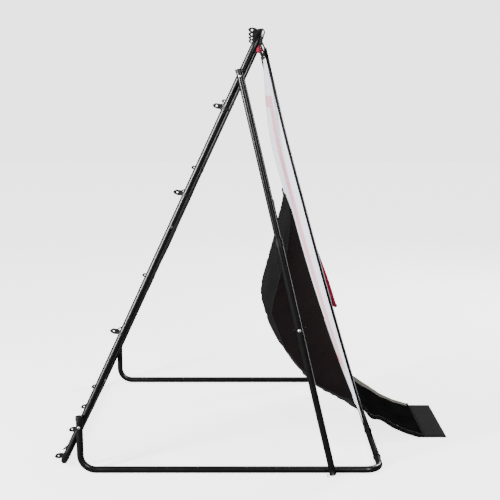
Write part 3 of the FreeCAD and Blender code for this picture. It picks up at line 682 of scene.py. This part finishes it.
def bag_levels():
    """Heights down the bag's CAD solid, its reach behind the sheet's line and its half width there."""
    low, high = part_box("ball_bag")
    surface = cad_surface("ball_bag")
    levels = []
    for height in steps([high.z - BAG_TRIM, low.z + 0.003], 0.016):
        share = share_at(height)
        line = SHEET_FOOT.x + SHEET_RUN.x * share
        back = surface.ray_cast(Vector((low.x - 1, 0, height)), Vector((1, 0, 0)))[0]
        inside = line - 4 * SAG_MIDDLE * share * (1 - share) - JUST_BEHIND
        side = surface.ray_cast(Vector((inside, low.y - 1, height)), Vector((0, 1, 0)))[0]
        levels.append((height, line - back.x, -side.y if side else high.y))
    return levels


def smooth_levels(levels):
    """The same levels with their corners eased."""
    eased = []
    for number, (height, _, _) in enumerate(levels):
        near = [levels[min(max(number + step, 0), len(levels) - 1)] for step in (-1, 0, 1)]
        reach = sum(level[1] for level in near) / len(near)
        half = sum(level[2] for level in near) / len(near)
        eased.append((height, reach, half))
    return eased


SETTLE_FRAMES = 30
# the weight of each point of the settling cloth, in kilograms
POINT_WEIGHT = 0.004
# how firmly the bag's cloth keeps to its cut shape, from 0 to 1, along its seams and between them
SEAM_HOLD = 0.88
CLOTH_HOLD = 0.58
# the bag's top rows lie flat on the sheet, where it reaches no further than this behind it
FLAT_ROWS = 3
FLAT_REACH = 0.090
# folds come in over this much more reach
FOLDS_RUN = 0.06
BAG_FOLDS = 0.008
PIPING_RADIUS = 0.0020
# how far the bag's two lowest rows drop, and what share of the way to the sheet they are pulled
BAG_FLOOR = ((0.003, 0.40), (0.005, 0.80))
CLOTH_GAUGE = 0.0014


def settle(rows, held):
    """Rows of cloth, sagged by a cloth simulation. held(row, column) is 1 where it is sewn down."""
    surface = Surface()
    surface.skin(rows)
    mesh = bpy.data.meshes.new("settling_cloth")
    mesh.from_pydata(surface.points, [], surface.faces)
    made = bpy.data.objects.new("settling_cloth", mesh)
    scene = bpy.context.scene
    scene.collection.objects.link(made)
    pins = made.vertex_groups.new(name="held")
    width = len(rows[0])
    for number in range(len(surface.points)):
        pins.add([number], held(number // width, number % width), "REPLACE")
    cloth_modifier = made.modifiers.new("cloth", "CLOTH")
    settings = cloth_modifier.settings
    settings.vertex_group_mass = pins.name
    settings.quality = 6
    settings.mass = POINT_WEIGHT
    settings.tension_stiffness = 30
    settings.compression_stiffness = 8
    settings.shear_stiffness = 6
    settings.bending_stiffness = 0.3
    # the cloth is cut a little larger than the space it fills, so that it folds
    settings.shrink_min = -0.03
    cloth_modifier.point_cache.frame_start = 1
    cloth_modifier.point_cache.frame_end = SETTLE_FRAMES
    for number in range(1, SETTLE_FRAMES + 1):
        scene.frame_set(number)
    graph = bpy.context.evaluated_depsgraph_get()
    settled = made.evaluated_get(graph)
    points = [vertex.co.copy() for vertex in settled.data.vertices]
    bpy.data.objects.remove(made)
    scene.frame_set(1)
    return [points[number * width:(number + 1) * width] for number in range(len(rows))]


def ball_bag():
    """The sagging bag behind the sheet: a dark back panel between two gussets whose cloth is painted darker still
    as painted shade.
    """
    rows = []
    for height, reach, half in smooth_levels(bag_levels()):
        row = []
        for number, point in enumerate(bag_outline(height, reach, half)):
            free = min(1.0, 5 * min(number, BAG_TURNS - number) / BAG_TURNS)
            slack = min(1.0, max(0.0, (reach - FLAT_REACH) / FOLDS_RUN))
            outward = Vector((-1, 0.6 * point.y / half, 0)).normalized()
            row.append(point + outward * crumple(point, BAG_FOLDS) * free * slack)
        rows.append(row)
    floor = rows[-1]
    for drop, pull in BAG_FLOOR:
        row = []
        for point in floor:
            front = sheet_x(point.z, point.y) - BEHIND_SHEET
            x = point.x + (front - point.x) * pull
            row.append(Vector((x, point.y * (1 - 0.2 * pull), point.z - drop)))
        rows.append(row)
    corner = round(GUSSET_SHARE * BAG_TURNS)

    def held(i, j):
        if i < FLAT_ROWS or i == len(rows) - 1 or j in (0, 1, BAG_TURNS - 1, BAG_TURNS):
            return 1.0
        return SEAM_HOLD if j in (corner, BAG_TURNS - corner) else CLOTH_HOLD

    rows = settle(rows, held)
    back = Surface()
    back.skin([row[corner:BAG_TURNS + 1 - corner] for row in rows])
    panel = piece("bag_back_panel", back, BLACK_CLOTH, "target", thickness=CLOTH_GAUGE)
    sides = Surface()
    sides.skin([row[:corner + 1] for row in rows])
    sides.skin([row[BAG_TURNS - corner:] for row in rows])
    piece("bag_side_panels", sides, GUSSET_PAINTED_SHADE_CLOTH, "target", thickness=CLOTH_GAUGE)
    seams = Surface()
    for column in (corner, BAG_TURNS - corner):
        seams.cord([row[column] for row in rows], PIPING_RADIUS, sides=6)
    seams.stitches([row[BAG_TURNS // 2] + Vector((-0.001, 0, 0)) for row in rows])
    piece("bag_seam_piping", seams, BLACK_TAPE, "target")
    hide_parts("ball_bag")


# --- chute, end flap and strike flap ---------------------------------------------------------

RIM_ROLL = 0.003
HEM_WIDTH = 0.016
# how far the chute's cloth runs back through the sheet's lower opening, and its rise there
CHUTE_BACK = 0.024
CHUTE_RISE = 0.017
# a fold that hangs from the near half of the chute, where along X it hangs and how wide it is
CHUTE_BELLY = 0.020
CHUTE_BELLY_AT = 0.572
CHUTE_BELLY_WIDTH = 0.028
CHUTE_FOLDS = 0.006
CHUTE_FOLD_SCALE = 11.0
# the lowest that the chute's cloth comes to the floor
CHUTE_LOWEST = 0.0036
LINING_COLUMNS = 3
LINING_THICKNESS = 0.0008
# the near edge's lining stops at this height
NEAR_LINING_LOWEST = 0.045


def chute_profile():
    """The heights of the chute's middle and edges along X, read off its CAD solid."""
    low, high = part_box("ball_chute")
    surface = cad_surface("ball_chute")
    down = Vector((0, 0, -1))
    profile = []
    for x in steps([low.x + 0.001, high.x - 0.001], 0.009):
        middle = surface.ray_cast(Vector((x, 0, 1)), down)[0].z
        edge = surface.ray_cast(Vector((x, high.y - 0.0015, 1)), down)[0].z
        profile.append((x, middle, edge))
    x, middle, edge = profile[0]
    first = (x - CHUTE_BACK, middle + CHUTE_RISE, edge + CHUTE_RISE * 0.8)
    flat = profile[-1][1]
    last = (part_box("chute_end_flap")[0].x + 0.001, flat, flat)
    return [first] + profile + [last]


def chute_section(x, middle, edge, half, along):
    """One section of the chute: cloth sagging from its near edge to its far edge."""
    row = []
    for share in steps([-1.0, 1.0], 0.0715):
        from_belly = (x - CHUTE_BELLY_AT) / CHUTE_BELLY_WIDTH
        belly = CHUTE_BELLY * (1 - share) / 2 * math.exp(-from_belly ** 2)
        z = middle + (edge - middle) * share * share - belly
        point = Vector((x, share * half, z))
        held = min(1.0, 6 * (1 - abs(share)) + 0.10) * min(1.0, 3 * max(0.0, 1 - along) + 0.1)
        fold = crumple(point, CHUTE_FOLDS, CHUTE_FOLD_SCALE) * held
        point.z = max(point.z + fold, CHUTE_LOWEST)
        row.append(point)
    return row


def ball_chute():
    """The run of cloth from the sheet down to the floor, with hemmed and lined edges."""
    low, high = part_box("ball_chute")
    half = high.y - RIM_ROLL
    rows = []
    for x, middle, edge in chute_profile():
        rows.append(chute_section(x, middle, edge, half, (x - low.x) / (high.x - low.x)))
    run = Surface()
    run.skin(rows)
    made = piece("chute_run_cloth", run, CHUTE_CLOTH, None, thickness=CLOTH_GAUGE)
    width = len(rows[0])
    lining = Surface()
    near_edge = (range(LINING_COLUMNS), 1, NEAR_LINING_LOWEST)
    far_edge = (range(width - LINING_COLUMNS, width), -1, 0.0)
    for columns, inward, lowest in (near_edge, far_edge):
        strip = []
        for row in rows[:-2]:
            if row[columns[0]].z > lowest:
                strip.append([row[c] + Vector((0, inward * 0.0016, 0.0020)) for c in columns])
        lining.skin(strip)
    lined = piece("chute_edge_lining", lining, LINING_CLOTH, None, thickness=LINING_THICKNESS)
    rim = Surface()
    for column, outward in ((0, -1), (width - 1, 1)):
        edge_line = [row[column] for row in rows]
        rim.cord(edge_line, RIM_ROLL, sides=6)
        hem = []
        for point in edge_line:
            middle = max(point.z - HEM_WIDTH / 2, HEM_WIDTH / 2 + 0.001)
            hem.append(Vector((point.x, point.y + outward * 0.0008, middle)))
        rim.tape(hem, lambda _: Vector((0, 0, 1)), lambda _: Vector((0, 1, 0)), HEM_WIDTH, 0.002)
    rolled = piece("chute_hems", rim, BLACK_TAPE, None)
    for part in (made, lined, rolled):
        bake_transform(part)
    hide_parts("ball_chute")


PANEL_LOW = 0.0032
PANEL_THICKNESS = 0.0026
# how far the panel's padding rises, and over what distance from its edge
PANEL_CROWN = 0.0035
PANEL_CROWN_RUN = 0.012
PANEL_CURL = 0.003
BINDING_HEIGHT = 0.0045
BINDING_RADIUS = 0.0028
STITCH_INSET = 0.010
STITCH_HEIGHT = 0.0088


def chute_end():
    """The stiff panel at the chute's mouth, padded, bound and stitched round its edge."""
    low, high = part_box("chute_end_flap")
    rows = []
    for x in steps([low.x, high.x], 0.008):
        row = []
        for y in steps([low.y, high.y], 0.012):
            from_edge = min(x - low.x, high.x - x, y - low.y, high.y - y)
            crown = PANEL_CROWN * min(1.0, from_edge / PANEL_CROWN_RUN) ** 0.5
            along = (x - low.x) / (high.x - low.x)
            curl = PANEL_CURL * along ** 2 * noise.noise(Vector((0, 6 * y, 0.3)))
            row.append(Vector((x, y, PANEL_LOW + crown + abs(curl))))
        rows.append(row)
    panel = Surface()
    panel.skin(rows)
    made = piece("chute_end_panel", panel, BLACK_CLOTH, "base", thickness=PANEL_THICKNESS)
    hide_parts("chute_end_flap")
    corners = [(low.x, low.y), (high.x, low.y), (high.x, high.y), (low.x, high.y), (low.x, low.y)]
    bound = [Vector((x, y, BINDING_HEIGHT)) for x, y in corners]
    edge = Surface()
    for a, b in zip(bound, bound[1:]):
        edge.cord([a, a.lerp(b, 0.5), b], BINDING_RADIUS, sides=8)
    piece("chute_end_binding", edge, BLACK_TAPE, "base")
    middle = (low.x + high.x) / 2
    thread = Surface()
    line = []
    for point in bound:
        x = point.x + STITCH_INSET * (1 if point.x < middle else -1)
        y = point.y + STITCH_INSET * (1 if point.y < 0 else -1)
        line.append(Vector((x, y, STITCH_HEIGHT)))
    thread.stitches(line)
    piece("chute_end_stitching", thread, THREAD, "base", smooth=False)


FLAP_BELLY = 0.016
FLAP_THICKNESS = 0.0022
# from the hem rod's middle out to the cloth
FLAP_STANDOFF = 0.004
FLAP_HEM_RADIUS = 0.008
FLAP_SIDE_RADIUS = 0.0055
# how far the cloth's lower end hangs below its solid, and how far it stays back from its front
FLAP_SAG = 0.010
FLAP_TUCK = 0.010
FLAP_RIPPLE = 0.006
FLAP_FOLDS = 0.005
FLAP_ROD_RADIUS = 0.0034


def strike_flap():
    """The red flap: hung from its hem rod, bellied forward, with a weighted lower hem."""
    low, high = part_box("strike_flap")
    hinge = joint_at("flap_swing")
    tip = Vector((high.x - FLAP_TUCK, 0, low.z - FLAP_SAG))
    run = tip - hinge
    out = Vector((-run.z, 0, run.x)).normalized()
    half = high.y - 0.004
    rows = []
    for share in steps([0.0, 1.0], 0.03):
        row = []
        for y in steps([-half, half], 0.015):
            across = y / half
            belly = FLAP_BELLY * math.sin(math.pi * share) * (1 - 0.3 * across * across)
            ripple = FLAP_RIPPLE * share * math.sin(5.0 * across + 0.8)
            ripple += crumple(Vector((0.3, y, share * 0.5)), FLAP_FOLDS)
            forward = FLAP_STANDOFF + belly + ripple * share
            row.append(hinge + run * share + out * forward + Vector((0, y, 0)))
        rows.append(row)
    cloth_part = Surface()
    cloth_part.skin(rows)
    made = piece("flap_cloth", cloth_part, RED_CLOTH, "strike_flap", thickness=FLAP_THICKNESS)
    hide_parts("strike_flap")
    hem = Surface()
    hem.cord([point + Vector((0, 0, 0.003)) for point in rows[-1]], FLAP_HEM_RADIUS, sides=8)
    rod = [hinge + Vector((0, y, 0)) for y in steps([-high.y, high.y], 0.05)]
    hem.cord(rod, FLAP_ROD_RADIUS, sides=8)
    hem.cord([row[0] for row in rows], FLAP_SIDE_RADIUS, sides=8)
    hem.cord([row[-1] for row in rows], FLAP_SIDE_RADIUS, sides=8)
    piece("flap_hems", hem, RED_TAPE, "strike_flap")
    thread = Surface()
    for number in (1, len(rows) - 3):
        thread.stitches([point + out * 0.0018 for point in rows[number]])
    piece("flap_stitching", thread, PALE_THREAD, "strike_flap", smooth=False)


# --- the rebound net -------------------------------------------------------------------------

NET_PITCH = 0.032
NET_CORD_RADIUS = 0.0013
NET_BORDER_RADIUS = 0.0042
NET_SLACK = 0.016
NET_WANDER = 0.004


def net_extent():
    """The net's lowest and highest station on the frame and its half width, from its CAD solid."""
    low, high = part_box("rebound_net")
    bottom = (Vector((low.x, 0, low.z)) - PIVOT).dot(FRAME_UP)
    top = (Vector((high.x, 0, high.z)) - PIVOT).dot(FRAME_UP)
    return bottom, top, high.y


def net_point(station, y, bottom, top, half):
    """A point of the net, which slackens a little away from its border."""
    up = (station - bottom) / (top - bottom)
    across = y / half
    free = 4 * up * (1 - up) * (1 - across * across)
    slack = NET_SLACK * free
    wander = NET_WANDER * noise.noise(Vector((station * 9, y * 9, 0.2))) * free
    return on_frame(station + wander, y + wander, wander - slack)


def rebound_net():
    """Knotless square net with a rope border."""
    bottom, top, half = net_extent()
    stations = steps([bottom, top], NET_PITCH)
    rows = steps([-half, half], NET_PITCH)
    surface = Surface()
    for y in rows[1:-1]:
        surface.cord([net_point(s, y, bottom, top, half) for s in stations], NET_CORD_RADIUS, sides=4)
    for station in stations[1:-1]:
        surface.cord([net_point(station, y, bottom, top, half) for y in rows], NET_CORD_RADIUS, sides=4)
    made = piece("net_mesh", surface, NET_CORD, "rebounder")
    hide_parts("rebound_net")
    rope = Surface()
    for y in (-half, half):
        rope.cord([on_frame(s, y) for s in stations], NET_BORDER_RADIUS, sides=8)
    for station in (bottom, top):
        rope.cord([on_frame(station, y) for y in rows], NET_BORDER_RADIUS, sides=8)
    piece("net_border_rope", rope, NET_CORD, "rebounder")


HOOK_STATIONS = (0.390, 0.960, 1.300)
HOOK_ROWS = (-0.420, -0.140, 0.140, 0.420)
HOOK_TIP = 0.038
# how far the eyes of the net's hooks stand in from the tube, and out from the frame's plane
EYE_INWARD = 0.016
BAR_EYE_INWARD = 0.017
EYE_OUT = HOOK_TIP * 0.6
# the two crossbars of the rebounder frame, as stations up its slope
LOWER_BAR = -0.180
TOP_BAR = 1.595
NET_TO_TUBE = 0.060
NET_TIE_HALF = 0.018
NET_TIE_RADIUS = 0.0024
LOOP_STEPS = 12


def loop(start, peak, end):
    """A cord's path from start out to a peak and back to end."""
    path = []
    for number in range(LOOP_STEPS + 1):
        share = number / LOOP_STEPS
        straight = start.lerp(end, share)
        path.append(straight + (peak - start.lerp(end, 0.5)) * math.sin(math.pi * share))
    return path


def net_elastic():
    """Elastic cord that ties the net's border rope to each plastic hook."""
    bottom, top, half = net_extent()
    eye_y = half + NET_TO_TUBE - EYE_INWARD
    surface = Surface()
    for station in HOOK_STATIONS:
        for side in (-1, 1):
            start = on_frame(station - NET_TIE_HALF, side * half)
            end = on_frame(station + NET_TIE_HALF, side * half)
            peak = on_frame(station, side * eye_y, EYE_OUT)
            surface.cord(loop(start, peak, end), NET_TIE_RADIUS)
    for edge, bar in ((bottom, LOWER_BAR), (top, TOP_BAR)):
        for y in HOOK_ROWS:
            inward = BAR_EYE_INWARD if bar < edge else -BAR_EYE_INWARD
            start = on_frame(edge, y - NET_TIE_HALF)
            end = on_frame(edge, y + NET_TIE_HALF)
            peak = on_frame(bar + inward, y, EYE_OUT)
            surface.cord(loop(start, peak, end), NET_TIE_RADIUS)
    piece("net_elastic_cords", surface, ELASTIC, "rebounder")


# --- ties at the sheet's ends ----------------------------------------------------------------

# where the foot ties pass through the sheet, as a share of its height, and half of their spread
FOOT_TIE = 0.004
FOOT_TIE_HALF = 0.010
FOOT_TIE_RADIUS = 0.0020
# the lowest point of each foot tie, from the top of the front tube
FOOT_HOOK = (0.0062, 0.0078)
HEAD_TIE_RADIUS = 0.0030
# the eye of each hook that the sheet hangs from, from the middle of the top tube
HANGER_EYE = (0.0045, -0.034)
HANGER_EYE_HALF = 0.0085
HEAD_TIE_SWAY = 0.004


def sheet_ties():
    """Elastic loops from the sheet's lower hem to the base's front hooks."""
    surface = Surface()
    tube_top = Vector((JOINTS["target_lean"]["pos_m"][0], 0, 2 * TUBE_RADIUS))
    x, z = FOOT_HOOK
    for y in HOOK_ROWS:
        start = on_sheet(y - FOOT_TIE_HALF, FOOT_TIE)
        end = on_sheet(y + FOOT_TIE_HALF, FOOT_TIE)
        surface.cord(loop(start, tube_top + Vector((x, y, z)), end), FOOT_TIE_RADIUS)
    piece("sheet_foot_elastic", surface, ELASTIC, "base")


STRAP_Y = 0.400
STRAP_HALF = 0.022
STRAP_INSIDE = 0.0134
STRAP_OUTSIDE = 0.0172
# the tab's outline below the tube, as distances along X and Z from the tube's middle
STRAP_TAB = (
    (-0.012, -0.0175), (0.016, -0.0175), (0.021, -0.028),
    (0.014, -0.041), (-0.004, -0.042), (-0.012, -0.030),
)
STRAP_TAB_MIDDLE = (0.004, -0.029)
# the tab's ends are this much smaller, over this length
STRAP_TAB_END = 0.75
STRAP_TAB_EASE = 0.005


def top_strap():
    """Red webbing looped round the top tube near its far end, with a folded tab under it."""
    bar = on_frame(TOP_BAR, 0)
    surface = Surface()
    near = STRAP_Y - STRAP_HALF
    far = STRAP_Y + STRAP_HALF
    corners = ((near, STRAP_INSIDE), (far, STRAP_INSIDE), (far, STRAP_OUTSIDE), (near, STRAP_OUTSIDE))
    rows = []
    for number in range(24):
        angle = math.radians(15 * number)
        turn = Vector((math.cos(angle), 0, math.sin(angle)))
        rows.append([bar + Vector((0, y, 0)) + turn * radius for y, radius in corners])
    surface.skin(rows + rows[:1], wrap=True)
    tab = []
    middle_x, middle_z = STRAP_TAB_MIDDLE
    ends = (
        (near, STRAP_TAB_END), (near + STRAP_TAB_EASE, 1.0),
        (far - STRAP_TAB_EASE, 1.0), (far, STRAP_TAB_END),
    )
    for y, shrink in ends:
        ring = []
        for x, z in STRAP_TAB:
            place = (middle_x + (x - middle_x) * shrink, y, middle_z + (z - middle_z) * shrink)
            ring.append(bar + Vector(place))
        tab.append(ring)
    surface.sweep(tab)
    piece("top_red_strap", surface, RED_TAPE, "rebounder")


def head_ties():
    """Elastic that holds the sheet's head hem up to the hooks on the top tube, doubled at each one."""
    bar = on_frame(TOP_BAR, 0)
    surface = Surface()

    def at_eye(y, step):
        x, z = HANGER_EYE
        return bar + Vector((x, y + step * HANGER_EYE_HALF, z))

    for y in EYELET_ROWS:
        low = on_sheet(y, HEAD_HEM)
        for side in (-1, 1):
            high = at_eye(y, side)
            aside = side * HEAD_TIE_SWAY
            sway = high.lerp(low, 0.5) + Vector((0.003, aside, -HEAD_TIE_SWAY))
            surface.cord(loop(high, sway, low + Vector((0, aside, 0))), HEAD_TIE_RADIUS)
        surface.cord([at_eye(y, step) for step in (-1, -0.3, 0.3, 1)], HEAD_TIE_RADIUS)
    piece("sheet_head_elastic", surface, BLACK_TAPE, "rebounder")


# --- build the pieces ------------------------------------------------------------------------


def fold_with_frame(made):
    """Gives the cloth above the bag its own copy of its mesh."""
    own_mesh(made)


finish_cad_nodes()
lower_sheet = sheet_part("sheet_lower", 0.0, SPLIT)
upper_sheet = sheet_part("sheet_upper", SPLIT, 1.0)
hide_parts("target_sheet")
upper_parts = [upper_sheet]
border("sheet_lower_border", 0.0, SPLIT, FOOT_HEM)
upper_parts.append(border("sheet_upper_border", SPLIT, 1.0, HEAD_HEM))
window_border()
sheet_stitching("sheet_lower_stitching", 0.0, SPLIT)
upper_parts.append(sheet_stitching("sheet_upper_stitching", SPLIT, 1.0))
grommets("sheet_foot_eyelets", FOOT_HEM)
upper_parts.append(grommets("sheet_head_eyelets", HEAD_HEM))
for part in upper_parts:
    fold_with_frame(part)
ball_bag()
ball_chute()
chute_end()
strike_flap()
rebound_net()
net_elastic()
sheet_ties()
top_strap()
head_ties()


# --- stage -----------------------------------------------------------------------------------

# how bright the surround looks to the camera, and how much it lights everything else
SEEN_WHITE = 3.0
ROOM_LIGHT = 0.16
FLOOR_REACH = 14.0


def camera_ray(tree):
    """1 for what the camera sees directly and 0 for light and reflections."""
    return tree.nodes.new("ShaderNodeLightPath").outputs["Is Camera Ray"]


def stage_floor():
    """A wide pale floor that shades into the surround, without lighting the tubes from below."""
    mesh = bpy.data.meshes.new("stage_floor")
    far = FLOOR_REACH
    corners = [(-far, -far, 0), (far, -far, 0), (far, far, 0), (-far, far, 0)]
    mesh.from_pydata(corners, [], [(0, 1, 2, 3)])
    floor = bpy.data.objects.new("stage_floor", mesh)
    bpy.context.scene.collection.objects.link(floor)
    shader = Shader("pale_floor", roughness=0.9, specular_ior_level=0.05)
    seen = camera_ray(shader.tree)
    shader.set("Base Color", shader.mix(seen, grey(0.10), grey(0.80)))
    shader.set("Emission Color", grey(1.0))
    shader.set("Emission Strength", shader.math("MULTIPLY", seen, SEEN_WHITE))
    mesh.materials.append(shader.material)


def soft_lamp(name, place, target, width, height, energy):
    """A soft lamp with a rectangular face that points at a target."""
    lamp = bpy.data.lights.new(name, "AREA")
    lamp.shape = "RECTANGLE"
    lamp.size = width
    lamp.size_y = height
    lamp.energy = energy
    made = bpy.data.objects.new(name, lamp)
    made.location = place
    made.rotation_euler = (Vector(target) - Vector(place)).to_track_quat("-Z", "Y").to_euler()
    bpy.context.scene.collection.objects.link(made)


def stage_world():
    """An even white surround."""
    world = bpy.data.worlds.new("white_surround")
    world.use_nodes = True
    tree = world.node_tree
    background = tree.nodes["Background"]
    background.inputs["Color"].default_value = grey(1.0)
    spread = tree.nodes.new("ShaderNodeMapRange")
    tree.links.new(camera_ray(tree), spread.inputs["Value"])
    spread.inputs["To Min"].default_value = ROOM_LIGHT
    spread.inputs["To Max"].default_value = SEEN_WHITE
    tree.links.new(spread.outputs["Result"], background.inputs["Strength"])
    bpy.context.scene.world = world


CAMERA_PLACE = (0.0717, -3.804, 1.4355)
CAMERA_DIP = 0.1761
CAMERA_LENS = 66.04
CAMERA_SENSOR = 36.0


def camera():
    """A side view from a little above the top tube."""
    data = bpy.data.cameras.new("camera")
    data.sensor_width = CAMERA_SENSOR
    data.lens = CAMERA_LENS
    made = bpy.data.objects.new("camera", data)
    made.location = CAMERA_PLACE
    made.rotation_euler = (math.pi / 2 - CAMERA_DIP, 0, 0)
    bpy.context.scene.collection.objects.link(made)
    bpy.context.scene.camera = made


stage_floor()
stage_world()
MIDDLE = (0.0, 0.0, 0.8)
soft_lamp("key_lamp", (-3.0, -2.4, 1.7), MIDDLE, 0.45, 2.6, 420)
soft_lamp("back_lamp", (2.6, 2.4, 2.8), MIDDLE, 0.8, 1.6, 200)
soft_lamp("front_lamp", (1.8, -3.4, 2.2), MIDDLE, 0.35, 2.0, 70)
camera()
